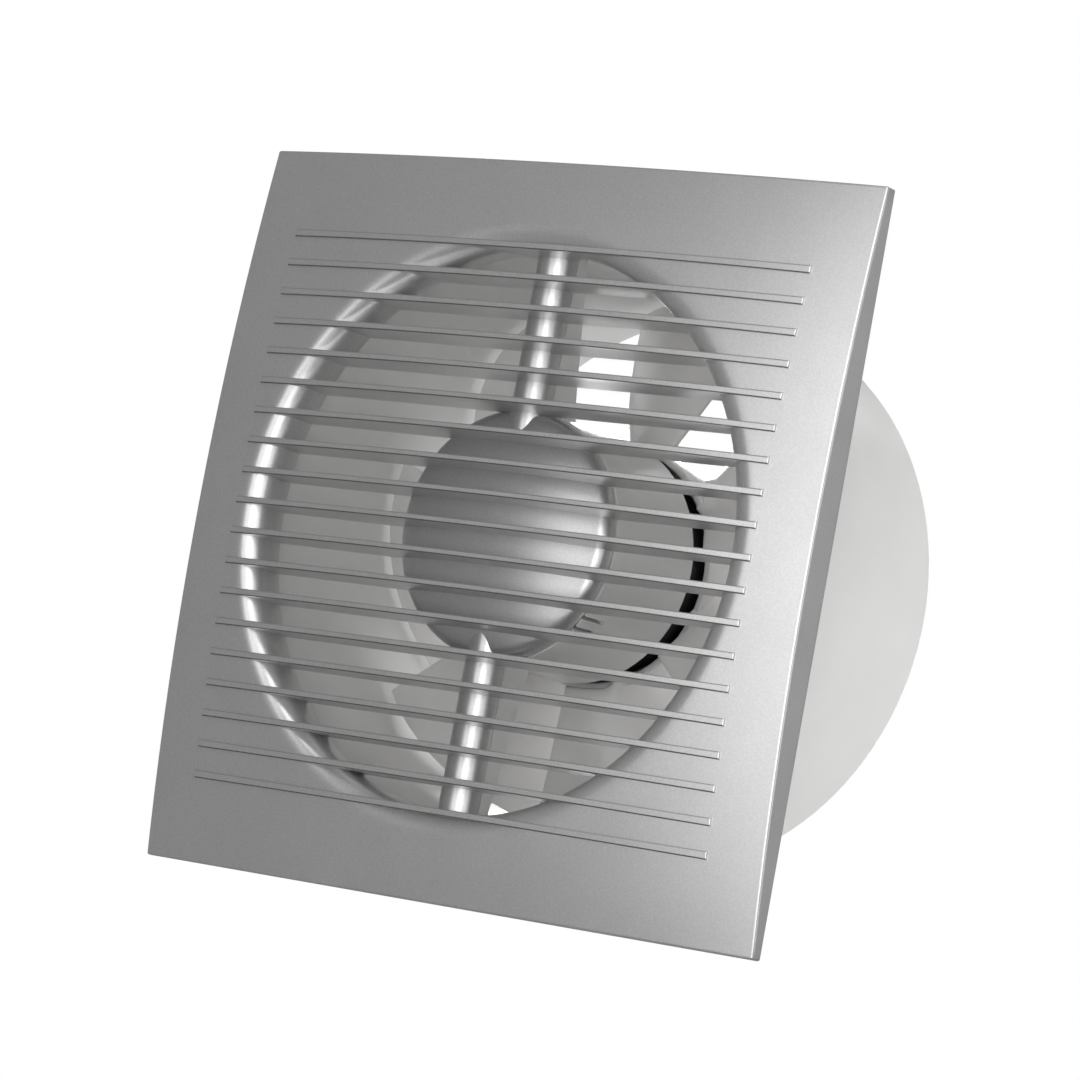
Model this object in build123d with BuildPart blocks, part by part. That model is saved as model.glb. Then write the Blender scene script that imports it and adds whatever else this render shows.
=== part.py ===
from build123d import *
import math
import os

os.makedirs("parts", exist_ok=True)

# Bathroom extractor fan for a 120 mm duct. X runs to the right as one faces the panel,
# Y runs backwards into the duct and Z runs up. The origin is on the fan's axis, in the
# plane where the back plate lies on the wall, so the panel is at negative Y.

# ---- cover panel ----
half_side = 75.0          # half the side of the square panel
corner_depth = 2.75       # depth of the panel's side face at a corner
bow_upright = 4.7         # extra depth half way up a side edge
bow_level = 4.4           # extra depth half way along the top and bottom edges
bow_middle = 2.4          # what the middle bulges beyond the two edge bows together
panel_wall = 1.9          # thickness of the moulding behind its front surface
skirt_wall = 1.8          # thickness of the four side walls
lip_radius = 4.3          # rounding where the panel rolls into the opening
lip_ring = 62.8           # solid ring round the opening, so the rounding has meat behind it
bore_radius = 57.0        # inside of the cover's short tube
tube_outer = 58.4
tube_end = -1.0
ridge_z = 30.0            # height of the catch ridges and of the lugs that hold them

# ---- slats ----
slat_count = 19
slat_pitch = 6.34
slat_half_length = 63.3
slat_face_half = 0.575    # half the height of a slat's front face
slat_back_half = 0.95     # half the height of its back edge
slat_back = -1.5
slat_proud = 0.45         # how far slats stand off the panel, also their end bevel

# ---- strut and dome of the cover ----
strut_radius = 4.4
strut_inner = 2.9
strut_axis = -0.2         # depth of the half round strut's axis
strut_end = 19.5          # where the strut dies out on the dome's face
dome_radius = 25.4
dome_fillet = 3.1
dome_back = -0.3
dome_middle = -7.2
dome_edge = -3.1
dome_wall = 1.7

# ---- base housing ----
plate_half = 71.0
plate_corner = 20.0
plate_depth = 1.8
collar_outer = 61.0
collar_inner = 59.5
collar_front = -3.5
spigot_outer = 59.5
spigot_inner = 58.2
spigot_end = 64.6
seat_radius = 58.75       # recess in the spigot's mouth that takes the cover's tube
drum_outer = 25.65
drum_inner = 23.9
drum_front = 0.1
drum_end = 28.2
partition_front = 11.0
partition_back = 12.6
arm_half = 4.1
arm_wall = 1.2
arm_front = 0.4
screw_pitch = 112.0       # spacing of the four wall screws
screw_hole = 2.25
screw_sink = 4.0          # radius of the countersink in front
inlet_height = 66.2       # cable hole above the axis
inlet_radius = 3.2
slit_width = 0.8
slit_end = 7.0
tongue_angles = [-37.6, 142.4]
pole_x = 4.2              # the two poles of the terminal block and their leads

# ---- impeller ----
blade_count = 7
hub_front = 34.0
hub_end = 50.0
hub_front_radius = 26.1
hub_end_radius = 25.0
hub_wall = 1.6
web_front = 47.6
boss_radius = 5.0
boss_front = 40.0
boss_end = 54.0
blade_root = 25.9
blade_tip = 56.5
blade_thickness = 1.3

# ---- motor ----
shaft_radius = 2.0
shaft_front = 8.2
shaft_end = 55.8
stack_front = 17.5
stack_back = 28.5
core_half = 13.0
core_top = 13.0
window_top = -10.6        # lower edge of the iron round the bore
bar_top = -13.2           # the straight bar that carries the coil
bar_bottom = -16.8
limb_inner = 9.6
rotor_radius = 8.5
stator_bore = 8.85
pole_gap_half = 0.7
bolt_x = 10.4
bolt_z = 8.2
bolt_radius = 1.5
bearing_radius = 4.4
ring_slot_x = 6.2         # place of the slots for the copper shading rings
ring_slot_z = 9.0
ring_gap_z = 10.0
coil_front = 13.6
coil_back = 32.4
coil_top = -11.1
coil_bottom = -19.3
rotor_bars = 16


def panel_depth(x, z):
    """How far the panel's front surface stands in front of the wall plane at one place."""
    across = 1 - (x / half_side) ** 2
    up = 1 - (z / half_side) ** 2
    return corner_depth + bow_upright * up + bow_level * across + bow_middle * across * up


def pillow_block(shift):
    """A block from the panel's front surface, moved by shift along Y, back to the wall plane."""
    side = corner_depth
    upright = corner_depth + 2 * bow_upright
    level = corner_depth + 2 * bow_level
    middle = corner_depth + 2 * bow_upright + 2 * bow_level + 4 * bow_middle
    depths = [[side, upright, side], [level, middle, level], [side, upright, side]]
    rows = []
    for i in range(3):
        row = []
        for k in range(3):
            row.append(Vector((i - 1) * half_side, shift - depths[i][k], (k - 1) * half_side))
        rows.append(row)
    surface = Face.make_bezier_surface(rows)
    with BuildPart() as block:
        extrude(surface, amount=40, dir=(0, 1, 0))
        with BuildSketch(Plane.XZ):
            Rectangle(4 * half_side, 4 * half_side)
        extrude(amount=40, mode=Mode.INTERSECT)
    return block.part


def puck(front, back, radius, x=0, z=0, mode=Mode.ADD):
    """A round piece along Y between two depths."""
    with BuildSketch(Plane.XZ.offset(-back)) as outline:
        with Locations((x, z)):
            Circle(radius)
    extrude(outline.sketch, amount=back - front, mode=mode)


def slab(front, back, x0, x1, z0, z1, mode=Mode.ADD):
    """A square edged piece between two depths."""
    with BuildSketch(Plane.XZ.offset(-back)) as outline:
        with Locations(((x0 + x1) / 2, (z0 + z1) / 2)):
            Rectangle(x1 - x0, z1 - z0)
    extrude(outline.sketch, amount=back - front, mode=mode)


def save(piece, name):
    """Give the piece its name and write it out."""
    piece.part.label = name
    export_step(piece.part, "parts/" + name + ".step")
    count = len(piece.part.solids())
    print(name, count, "solids", round(piece.part.volume), "mm3", piece.part.is_valid)


# ---------------------------------------------------------------- front grille
front_skin = pillow_block(0)
inner_void = pillow_block(panel_wall)
rib_skin = pillow_block(-slat_proud)
rib_void = pillow_block(1.0)

with BuildPart() as cover_hollow:
    add(inner_void)
    slab(-40, 0, -half_side + skirt_wall, half_side - skirt_wall,
         -half_side + skirt_wall, half_side - skirt_wall, mode=Mode.INTERSECT)
    puck(-40, -4.2, lip_ring, mode=Mode.SUBTRACT)
    puck(-40, tube_end, tube_outer, mode=Mode.SUBTRACT)

with BuildPart() as cover_shell:
    add(front_skin)
    add(cover_hollow.part, mode=Mode.SUBTRACT)
    puck(-40, 5, bore_radius, mode=Mode.SUBTRACT)
    rim_edges = cover_shell.edges().filter_by(lambda e: 350 < e.length < 362)
    lip_edge = rim_edges.sort_by(Axis.Y)[0]
    fillet(lip_edge, radius=lip_radius)

# slats run deep inside the opening and lie on the panel as low ribs outside it
with BuildPart() as slat_sections:
    with BuildSketch(Plane.YZ.offset(-70)):
        for i in range(slat_count):
            height = (i - (slat_count - 1) / 2) * slat_pitch
            Polygon(
                (-14.65, height - slat_face_half), (-17, height - slat_face_half),
                (-17, height + slat_face_half), (-14.65, height + slat_face_half),
                (slat_back, height + slat_back_half), (slat_back, height - slat_back_half),
                align=None)
    extrude(amount=140)

with BuildPart() as slat_bars:
    for i in range(slat_count):
        height = (i - (slat_count - 1) / 2) * slat_pitch
        end_depth = panel_depth(slat_half_length, height)
        with BuildSketch(Plane.XY.offset(height - 2)) as plan:
            Polygon(
                (-slat_half_length, slat_back), (-slat_half_length, -end_depth),
                (-slat_half_length + 2, -end_depth - 2), (-slat_half_length + 2, -17),
                (slat_half_length - 2, -17), (slat_half_length - 2, -end_depth - 2),
                (slat_half_length, -end_depth), (slat_half_length, slat_back), align=None)
        extrude(plan.sketch, amount=4)
    add(slat_sections.part, mode=Mode.INTERSECT)
    add(rib_skin, mode=Mode.INTERSECT)

with BuildPart() as rib_limit:
    add(rib_void)
    puck(-40, 5, bore_radius + 0.5, mode=Mode.SUBTRACT)

# the half round strut from the dome to the tube, above and below
with BuildPart() as strut_solid:
    with BuildSketch(Plane.XY.offset(-57.8)):
        Circle(strut_radius)
        with Locations((0, strut_radius)):
            Rectangle(2 * strut_radius + 2, 2 * strut_radius, mode=Mode.SUBTRACT)
    extrude(amount=115.6)
    puck(-20, 20, strut_end, mode=Mode.SUBTRACT)

# the dome's outside and its hollow, turned about the fan's axis
dome_drop = dome_edge - dome_middle
dome_ball = (dome_radius ** 2 + dome_drop ** 2) / (2 * dome_drop)
inner_drop = math.sqrt(dome_ball ** 2 - (dome_radius - dome_wall) ** 2)
with BuildPart() as dome_solid:
    with BuildSketch(Plane.XY):
        with BuildLine():
            crown = ThreePointArc(
                (0, dome_middle),
                (dome_radius / 2, dome_middle + dome_ball
                    - math.sqrt(dome_ball ** 2 - dome_radius ** 2 / 4)),
                (dome_radius, dome_edge))
            Polyline(crown @ 1, (dome_radius, dome_back), (0, dome_back), crown @ 0)
        make_face()
        dome_corner = vertices().sort_by_distance((dome_radius, dome_edge))[0]
        fillet(dome_corner, radius=dome_fillet)
    revolve(axis=Axis.Y)

with BuildPart() as cover_voids:
    with BuildSketch(Plane.XY):
        with BuildLine():
            inner_crown = ThreePointArc(
                (0, dome_middle + dome_wall),
                (dome_radius / 2, dome_middle + dome_wall + dome_ball
                    - math.sqrt(dome_ball ** 2 - dome_radius ** 2 / 4)),
                (dome_radius - dome_wall, dome_middle + dome_wall + dome_ball - inner_drop))
            Polyline(inner_crown @ 1, (dome_radius - dome_wall, 1), (0, 1), inner_crown @ 0)
        make_face()
    revolve(axis=Axis.Y)
    with BuildSketch(Plane.XY.offset(-56.4)) as channel_outline:
        with Locations((0, strut_axis)):
            Circle(strut_inner)
    extrude(channel_outline.sketch, amount=118)

with BuildPart() as front_grille:
    add(slat_bars.part)
    add(rib_limit.part, mode=Mode.SUBTRACT)
    add(cover_shell.part)
    add(strut_solid.part.moved(Location((0, strut_axis, 0))))
    add(dome_solid.part)
    add(cover_voids.part, mode=Mode.SUBTRACT)
    for side in (-1, 1):
        for level in (-1, 1):
            x_in = 71.2 * side
            x_out = 73.4 * side
            slab(-2.2, -1.2, min(x_in, x_out), max(x_in, x_out),
                 level * ridge_z - 4, level * ridge_z + 4)
save(front_grille, "front_grille")

# ---------------------------------------------------------------- base housing
with BuildPart() as arm_outer:
    with BuildSketch(Plane.YZ.offset(-arm_half)) as arm_profile:
        Polygon((arm_front, 24.5), (arm_front, 58.6), (3.2, 58.6), (9.0, 24.5), align=None)
    extrude(arm_profile.sketch, amount=2 * arm_half)
    mirror(about=Plane.XY)
with BuildPart() as arm_inner:
    inner_half = arm_half - arm_wall
    with BuildSketch(Plane.YZ.offset(-inner_half)) as channel_profile:
        Polygon((-2, 22.0), (-2, 60.6), (1.8, 60.6), (2.0, 58.6), (7.6, 25.4), (7.6, 22.0),
                align=None)
    extrude(channel_profile.sketch, amount=2 * inner_half)
with BuildPart() as low_channel:
    with BuildSketch(Plane.YZ.offset(-inner_half)) as low_profile:
        Polygon((-2, -58.0), (-2, -25.7), (7.5, -25.7), (2.0, -58.0), align=None)
    extrude(low_profile.sketch, amount=2 * inner_half)

with BuildPart() as base_housing:
    with BuildSketch(Plane.XZ) as plate_outline:
        RectangleRounded(2 * plate_half, 2 * plate_half, plate_corner)
    extrude(plate_outline.sketch, amount=plate_depth)
    plate_rim = base_housing.edges().filter_by(lambda e: e.bounding_box().max.Y < -1.7)
    fillet(plate_rim, radius=0.5)
    puck(collar_front, 0, collar_outer)
    puck(-1, spigot_end, spigot_outer)
    puck(-5, spigot_end + 1, spigot_inner, mode=Mode.SUBTRACT)
    puck(-5, -1.8, collar_inner, mode=Mode.SUBTRACT)
    puck(-5, -0.7, seat_radius, mode=Mode.SUBTRACT)
    spigot_rim = base_housing.edges().filter_by(lambda e: e.bounding_box().min.Y > spigot_end - 0.1)
    fillet(spigot_rim, radius=0.45)
    collar_rim = base_housing.edges().filter_by(lambda e: e.bounding_box().max.Y < collar_front + 0.1)
    fillet(collar_rim, radius=0.35)
    add(arm_outer.part)
    puck(drum_front, drum_end, drum_outer)
    puck(-2, partition_front, drum_inner, mode=Mode.SUBTRACT)
    puck(partition_back, 30, drum_inner, mode=Mode.SUBTRACT)
    drum_rim = base_housing.edges().filter_by(
        lambda e: e.bounding_box().min.Y > drum_end - 0.1 and e.bounding_box().max.X < 27)
    drum_rim = drum_rim.filter_by(lambda e: e.bounding_box().max.Y < drum_end + 0.1)
    fillet(drum_rim, radius=0.5)
    # bosses before the partition for the block, the cord clamp and the cap
    puck(8.0, partition_front, 2.2, x=-5.6, z=19.5)
    puck(8.0, partition_front, 2.2, x=5.6, z=19.5)
    # ledge that carries the chamber cap
    puck(2.1, 3.0, drum_outer - 0.5)
    puck(2.0, 3.1, 22.9, mode=Mode.SUBTRACT)
    # bosses behind the partition for the motor's screws
    for side in (-1, 1):
        puck(partition_back, 14.3, 3.2, x=side * bolt_x, z=bolt_z)
        puck(9.4, partition_front, 3.2, x=side * bolt_x, z=bolt_z)
        puck(9.3, 14.4, bolt_radius, x=side * bolt_x, z=bolt_z, mode=Mode.SUBTRACT)
    puck(10, 14, 6.2, mode=Mode.SUBTRACT)
    for side in (-1, 1):
        puck(10, 14, 0.9, x=side * pole_x, z=-15.0, mode=Mode.SUBTRACT)
        puck(7.9, 14, 0.9, x=side * 5.6, z=19.5, mode=Mode.SUBTRACT)
    puck(10.9, 12.7, 1.1, x=0, z=10.2, mode=Mode.SUBTRACT)
    add(arm_inner.part, mode=Mode.SUBTRACT)
    add(low_channel.part, mode=Mode.SUBTRACT)
    # wall screw holes with countersinks, and the cable hole
    for side in (-1, 1):
        for level in (-1, 1):
            x_hole = side * screw_pitch / 2
            z_hole = level * screw_pitch / 2
            puck(-2, 1, screw_hole, x=x_hole, z=z_hole, mode=Mode.SUBTRACT)
            with BuildSketch(Plane(origin=(x_hole, -plate_depth, z_hole), z_dir=(0, 1, 0))) as sink:
                Circle(screw_sink)
            extrude(sink.sketch, amount=1.3, taper=45, mode=Mode.SUBTRACT)
    puck(-2, 1, inlet_radius, x=0, z=inlet_height, mode=Mode.SUBTRACT)
    # lugs whose noses sit behind the cover's catch ridges
    for side in (-1, 1):
        for level in (-1, 1):
            inner = side * 68.8
            outer = side * 70.4
            slab(-4.6, 0, min(inner, outer), max(inner, outer),
                 level * ridge_z - 4, level * ridge_z + 4)
            nose = side * 71.1
            slab(-4.6, -2.6, min(inner, nose), max(inner, nose),
                 level * ridge_z - 4, level * ridge_z + 4)
    # snap tongues between two slits each, with a bump that holds the cap
    for angle in tongue_angles:
        with BuildSketch(Plane.XZ.offset(-0.9)) as bump_ring:
            with BuildLine():
                inner_arc = CenterArc((0, 0), 23.25, angle - 2.3, 4.6)
                outer_arc = CenterArc((0, 0), 24.4, angle - 2.3, 4.6)
                Line(inner_arc @ 0, outer_arc @ 0)
                Line(inner_arc @ 1, outer_arc @ 1)
            make_face()
        extrude(bump_ring.sketch, amount=0.8)
        for offset in (-3.15, 3.15):
            with BuildSketch(Plane.XZ.offset(-slit_end)) as slit:
                with Locations(Location((24.8 * math.cos(math.radians(angle + offset)),
                                         24.8 * math.sin(math.radians(angle + offset)), 0),
                                        (0, 0, angle + offset))):
                    Rectangle(3.4, slit_width)
            extrude(slit.sketch, amount=10, mode=Mode.SUBTRACT)
save(base_housing, "base_housing")

# ---------------------------------------------------------------- small parts of the base
with BuildPart() as cable_grommet:
    puck(-3.1, -1.8, 4.4, z=inlet_height)
    puck(-2.2, 0, inlet_radius, z=inlet_height)
    puck(-4, 1, 2.4, z=inlet_height, mode=Mode.SUBTRACT)
save(cable_grommet, "cable_grommet")

with BuildPart() as chamber_cap:
    puck(0.95, 2.1, 23.6)
    slab(-1, 3, -3.2, 3.2, 19.6, 26, mode=Mode.SUBTRACT)
save(chamber_cap, "chamber_cap")

with BuildPart() as terminal_block:
    slab(5.4, partition_front, -6.9, 6.9, 7.4, 15.0)
    for side in (-1, 1):
        slab(3.9, partition_front, side * pole_x - 2.4, side * pole_x + 2.4, 7.0, 15.4)
    for side in (-1, 1):
        slab(5.0, 9.6, side * pole_x - 1.7, side * pole_x + 1.7, 6.0, 16.4, mode=Mode.SUBTRACT)
        for level in (9.2, 13.2):
            puck(3.0, 6.0, 1.3, x=side * pole_x, z=level, mode=Mode.SUBTRACT)
    puck(3.0, 12.0, 1.05, x=0, z=10.2, mode=Mode.SUBTRACT)
save(terminal_block, "terminal_block")

with BuildPart() as terminal_clamps:
    for side in (-1, 1):
        slab(5.1, 9.5, side * pole_x - 1.6, side * pole_x + 1.6, 7.2, 15.2)
        with BuildSketch(Plane.XY.offset(7)) as wire_way:
            with Locations((side * pole_x, 7.6)):
                Circle(1.2)
        extrude(wire_way.sketch, amount=9, mode=Mode.SUBTRACT)
        for level in (9.2, 13.2):
            puck(5.0, 7.0, 1.0, x=side * pole_x, z=level, mode=Mode.SUBTRACT)
save(terminal_clamps, "terminal_clamps")

with BuildPart() as terminal_screws:
    for side in (-1, 1):
        for level in (9.2, 13.2):
            puck(4.2, 6.3, 1.0, x=side * pole_x, z=level)
            slab(4.0, 4.8, side * pole_x - 1.1, side * pole_x + 1.1, level - 0.2, level + 0.2,
                 mode=Mode.SUBTRACT)
save(terminal_screws, "terminal_screws")

with BuildPart() as block_screw:
    puck(3.9, 5.4, 1.7, z=10.2)
    puck(5.0, 12.6, 1.05, z=10.2)
    slab(3.8, 4.5, -1.2, 1.2, 9.95, 10.45, mode=Mode.SUBTRACT)
    slab(3.8, 4.5, -0.25, 0.25, 9.0, 11.4, mode=Mode.SUBTRACT)
save(block_screw, "block_screw")

with BuildPart() as cord_clamp:
    slab(5.4, 8.0, -7.6, 7.6, 17.6, 21.4)
    slab(8.0, 8.8, -2.6, 2.6, 19.1, 19.9)
    for side in (-1, 1):
        puck(5.0, 9.0, 1.1, x=side * 5.6, z=19.5, mode=Mode.SUBTRACT)
    clamp_ends = cord_clamp.edges().filter_by(Axis.Y).filter_by(lambda e: abs(e.center().X) > 7)
    fillet(clamp_ends, radius=1.4)
save(cord_clamp, "cord_clamp")

with BuildPart() as cord_clamp_screws:
    for side in (-1, 1):
        puck(3.9, 5.4, 1.8, x=side * 5.6, z=19.5)
        puck(5.3, 12.2, 0.9, x=side * 5.6, z=19.5)
        slab(3.8, 4.5, side * 5.6 - 1.3, side * 5.6 + 1.3, 19.25, 19.75, mode=Mode.SUBTRACT)
        slab(3.8, 4.5, side * 5.6 - 0.25, side * 5.6 + 0.25, 18.2, 20.8, mode=Mode.SUBTRACT)
save(cord_clamp_screws, "cord_clamp_screws")


def lead(side):
    """One lead, from its clamp down past the shaft's end and back through the partition."""
    x = side * pole_x
    with BuildPart() as wire:
        with BuildLine() as route:
            FilletPolyline((x, 6.9, 10.5), (x, 6.9, -15.0), (x, coil_front, -15.0), radius=3.0)
        with BuildSketch(Plane(origin=route.wire() @ 0, z_dir=route.wire() % 0)):
            Circle(0.5)
        sweep()
    return wire


save(lead(-1), "lead_live")
save(lead(1), "lead_neutral")

# ---------------------------------------------------------------- motor, fixed side
with BuildPart() as stator_core:
    with BuildSketch(Plane.XZ.offset(-stack_back)):
        Polygon(
            (-core_half, bar_bottom + 1.5), (-core_half + 1.5, bar_bottom),
            (core_half - 1.5, bar_bottom), (core_half, bar_bottom + 1.5),
            (core_half, core_top - 3), (core_half - 3, core_top),
            (-core_half + 3, core_top), (-core_half, core_top - 3), align=None)
        with Locations((0, (window_top + bar_top) / 2)):
            Rectangle(2 * limb_inner, window_top - bar_top, mode=Mode.SUBTRACT)
        Circle(stator_bore, mode=Mode.SUBTRACT)
        with Locations((0, 9.4)):
            Rectangle(2 * pole_gap_half, 2.8, mode=Mode.SUBTRACT)
        with Locations((0, -9.4)):
            Rectangle(2 * pole_gap_half, 2.8, mode=Mode.SUBTRACT)
        with Locations((ring_slot_x, ring_slot_z), (-ring_slot_x, -ring_slot_z)):
            Rectangle(1.3, 1.3, mode=Mode.SUBTRACT)
        with Locations((-bolt_x, bolt_z), (bolt_x, bolt_z)):
            Circle(bolt_radius + 0.15, mode=Mode.SUBTRACT)
    extrude(amount=stack_back - stack_front)
save(stator_core, "stator_core")

ring_run = math.hypot(ring_slot_x, ring_gap_z - ring_slot_z)
stack_middle = (stack_front + stack_back) / 2
stack_length = stack_back - stack_front
with BuildPart() as shading_rings:
    for side in (-1, 1):
        ring_plane = Plane(
            origin=(side * ring_slot_x / 2, stack_middle, side * (ring_gap_z + ring_slot_z) / 2),
            x_dir=(side * ring_slot_x, 0, side * (ring_slot_z - ring_gap_z)),
            z_dir=(ring_gap_z - ring_slot_z, 0, ring_slot_x))
        with BuildSketch(ring_plane) as ring_outline:
            Rectangle(ring_run + 0.9, stack_length + 1.9)
            Rectangle(ring_run - 0.9, stack_length + 0.1, mode=Mode.SUBTRACT)
        extrude(ring_outline.sketch, amount=0.45, both=True)
save(shading_rings, "shading_rings")

with BuildPart() as coil_bobbin:
    slab(stack_front - 0.8, stack_back + 0.8, -9.4, 9.4, bar_bottom - 0.7, bar_top + 0.7)
    for side in (-1, 1):
        inner = side * 8.6
        outer = side * 9.4
        slab(coil_front - 0.4, coil_back + 0.4, min(inner, outer), max(inner, outer),
             coil_bottom - 0.3, coil_top + 0.3)
    slab(stack_front - 0.1, stack_back + 0.1, -10, 10, bar_bottom - 0.1, bar_top + 0.1,
         mode=Mode.SUBTRACT)
save(coil_bobbin, "coil_bobbin")

with BuildPart() as coil_winding:
    slab(coil_front, coil_back, -8.6, 8.6, coil_bottom, coil_top)
    fillet(coil_winding.edges().filter_by(Axis.X), radius=2.0)
    slab(stack_front - 0.8, stack_back + 0.8, -9, 9, bar_bottom - 0.7, bar_top + 0.7,
         mode=Mode.SUBTRACT)
save(coil_winding, "coil_winding")


def bracket(name, plate_front, foot_front, foot_back, cup_front, cup_back, seat_front,
            seat_back, wall_front, wall_back):
    """A bearing bracket: plate with two feet on the stack and a cup for the bush."""
    with BuildPart() as piece:
        puck(plate_front, plate_front + 1.2, 7.0)
        slab(plate_front, plate_front + 1.2, -bolt_x, bolt_x, bolt_z - 3.0, bolt_z + 3.0)
        slab(plate_front, plate_front + 1.2, -7.0, 7.0, 0, bolt_z)
        for side in (-1, 1):
            puck(plate_front, plate_front + 1.2, 3.0, x=side * bolt_x, z=bolt_z)
            puck(foot_front, foot_back, 2.3, x=side * bolt_x, z=bolt_z)
        puck(cup_front, cup_back, 5.6)
        puck(seat_front, seat_back, bearing_radius, mode=Mode.SUBTRACT)
        puck(wall_front, wall_back, 2.7, mode=Mode.SUBTRACT)
        for side in (-1, 1):
            puck(5, 45, bolt_radius + 0.1, x=side * bolt_x, z=bolt_z, mode=Mode.SUBTRACT)
    save(piece, name)


bracket("front_bracket", 14.3, 15.4, 17.5, 10.3, 15.5, 10.9, 16.0, 9.0, 11.0)
bracket("rear_bracket", 30.5, 28.5, 30.6, 30.5, 35.7, 30.0, 35.1, 35.0, 36.5)

with BuildPart() as front_bearing:
    puck(10.9, 15.3, bearing_radius)
    puck(10, 16, shaft_radius + 0.03, mode=Mode.SUBTRACT)
save(front_bearing, "front_bearing")

with BuildPart() as rear_bearing:
    puck(30.7, 35.1, bearing_radius)
    puck(30, 36, shaft_radius + 0.03, mode=Mode.SUBTRACT)
save(rear_bearing, "rear_bearing")

with BuildPart() as motor_screws:
    for side in (-1, 1):
        puck(9.8, 31.8, bolt_radius, x=side * bolt_x, z=bolt_z)
        puck(31.7, 33.7, 2.7, x=side * bolt_x, z=bolt_z)
        slab(33.0, 34, side * bolt_x - 1.8, side * bolt_x + 1.8, bolt_z - 0.3, bolt_z + 0.3,
             mode=Mode.SUBTRACT)
        slab(33.0, 34, side * bolt_x - 0.3, side * bolt_x + 0.3, bolt_z - 1.8, bolt_z + 1.8,
             mode=Mode.SUBTRACT)
save(motor_screws, "motor_screws")

with BuildPart() as cap_pads:
    puck(24.5, 28.0, drum_inner)
    puck(24, 29, 23.2, mode=Mode.SUBTRACT)
    with BuildSketch(Plane.XZ.offset(-30)) as pad_places:
        for turn in (90, 210, 330):
            pad_x = 23.5 * math.cos(math.radians(turn))
            pad_z = 23.5 * math.sin(math.radians(turn))
            with Locations(Location((pad_x, pad_z, 0), (0, 0, turn))):
                Rectangle(3, 4)
    extrude(pad_places.sketch, amount=10, mode=Mode.INTERSECT)

with BuildPart() as motor_rear_cap:
    with BuildSketch(Plane.XY):
        with BuildLine():
            Polyline((22.5, 24.5), (23.6, 24.5), (23.6, 29.5), (22.8, 38.5), (3.2, 38.5),
                     (3.2, 37.2), (21.6, 37.2), (22.5, 29.8), (22.5, 24.5))
        make_face()
        rear_corner = vertices().sort_by_distance((22.8, 38.5))[0]
        fillet(rear_corner, radius=1.6)
    revolve(axis=Axis.Y)
    add(cap_pads.part)
save(motor_rear_cap, "motor_rear_cap")

# ---------------------------------------------------------------- turning side
with BuildPart() as rotor_core:
    puck(stack_front, stack_back, rotor_radius)
    puck(stack_front - 1, stack_back + 1, shaft_radius, mode=Mode.SUBTRACT)
    with BuildSketch(Plane.XZ.offset(-stack_back)) as bar_holes:
        with PolarLocations(7.4, rotor_bars):
            Circle(0.65)
    extrude(bar_holes.sketch, amount=stack_length, mode=Mode.SUBTRACT)
save(rotor_core, "rotor_core")

with BuildPart() as rotor_cage:
    puck(stack_front - 1.2, stack_front, 8.2)
    puck(stack_back, stack_back + 1.2, 8.2)
    puck(stack_front - 2, stack_back + 2, 5.2, mode=Mode.SUBTRACT)
    extrude(bar_holes.sketch, amount=stack_length)
save(rotor_cage, "rotor_cage")

with BuildPart() as shaft:
    puck(shaft_front, shaft_end, shaft_radius)
    chamfer(shaft.edges().filter_by(GeomType.CIRCLE), length=0.4)
    with BuildSketch(Plane.XZ.offset(-54.9)) as groove:
        Circle(shaft_radius + 1)
        Circle(1.6, mode=Mode.SUBTRACT)
    extrude(groove.sketch, amount=0.8, mode=Mode.SUBTRACT)
save(shaft, "shaft")

with BuildPart() as thrust_washers:
    puck(15.4, stack_front, 3.8)
    puck(stack_back, 30.6, 3.8)
    puck(15, 31, shaft_radius, mode=Mode.SUBTRACT)
save(thrust_washers, "thrust_washers")

with BuildPart() as impeller_clip:
    puck(54.15, 54.85, 3.8)
    puck(54, 55, 1.6, mode=Mode.SUBTRACT)
    slab(54, 55, -1.1, 1.1, -5, 0, mode=Mode.SUBTRACT)
save(impeller_clip, "impeller_clip")


def blade_point(radius, part_way):
    """A place on the blade: from the leading edge at 0 to the trailing edge at 1."""
    out = (radius - 26.0) / (blade_tip - 26.0)
    front = 31.0 + 1.5 * out
    lead_angle = 60.5 - 0.5 * out
    trail_angle = 111.0 - 7.4 * out - 1.1 * out * out
    depth = front + (50.6 - front) * part_way ** 2
    angle = math.radians(lead_angle + (trail_angle - lead_angle) * part_way)
    return Vector(radius * math.cos(angle), depth, radius * math.sin(angle))


blade_rows = []
for i in range(8):
    blade_row = []
    for k in range(9):
        blade_row.append(blade_point(23.0 + 5.0 * i, k / 8))
    blade_rows.append(blade_row)
blade_face = Face.make_surface_from_array_of_points(blade_rows)

with BuildPart() as blade:
    thicken(blade_face, amount=blade_thickness / 2, both=True)
    puck(20, 60, blade_tip, mode=Mode.INTERSECT)
    puck(20, hub_front, blade_root, mode=Mode.SUBTRACT)
    puck(20, 60, 24.3, mode=Mode.SUBTRACT)

with BuildPart() as impeller:
    with BuildSketch(Plane.XY):
        with BuildLine():
            Polyline((hub_front_radius - hub_wall, hub_front), (hub_front_radius, hub_front),
                     (hub_end_radius, hub_end), (boss_radius, hub_end), (boss_radius, boss_end),
                     (shaft_radius, boss_end), (shaft_radius, boss_front),
                     (boss_radius, boss_front), (boss_radius, web_front),
                     (hub_end_radius - hub_wall + 0.15, web_front),
                     (hub_front_radius - hub_wall, hub_front))
        make_face()
        hub_corner = vertices().sort_by_distance((hub_end_radius, hub_end))[0]
        fillet(hub_corner, radius=1.2)
    revolve(axis=Axis.Y)
    for i in range(blade_count):
        add(blade.part.rotate(Axis.Y, i * 360 / blade_count))
save(impeller, "impeller")
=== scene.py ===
import bmesh
import bpy
import math
import numpy as np
from mathutils import Matrix, Vector


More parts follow.
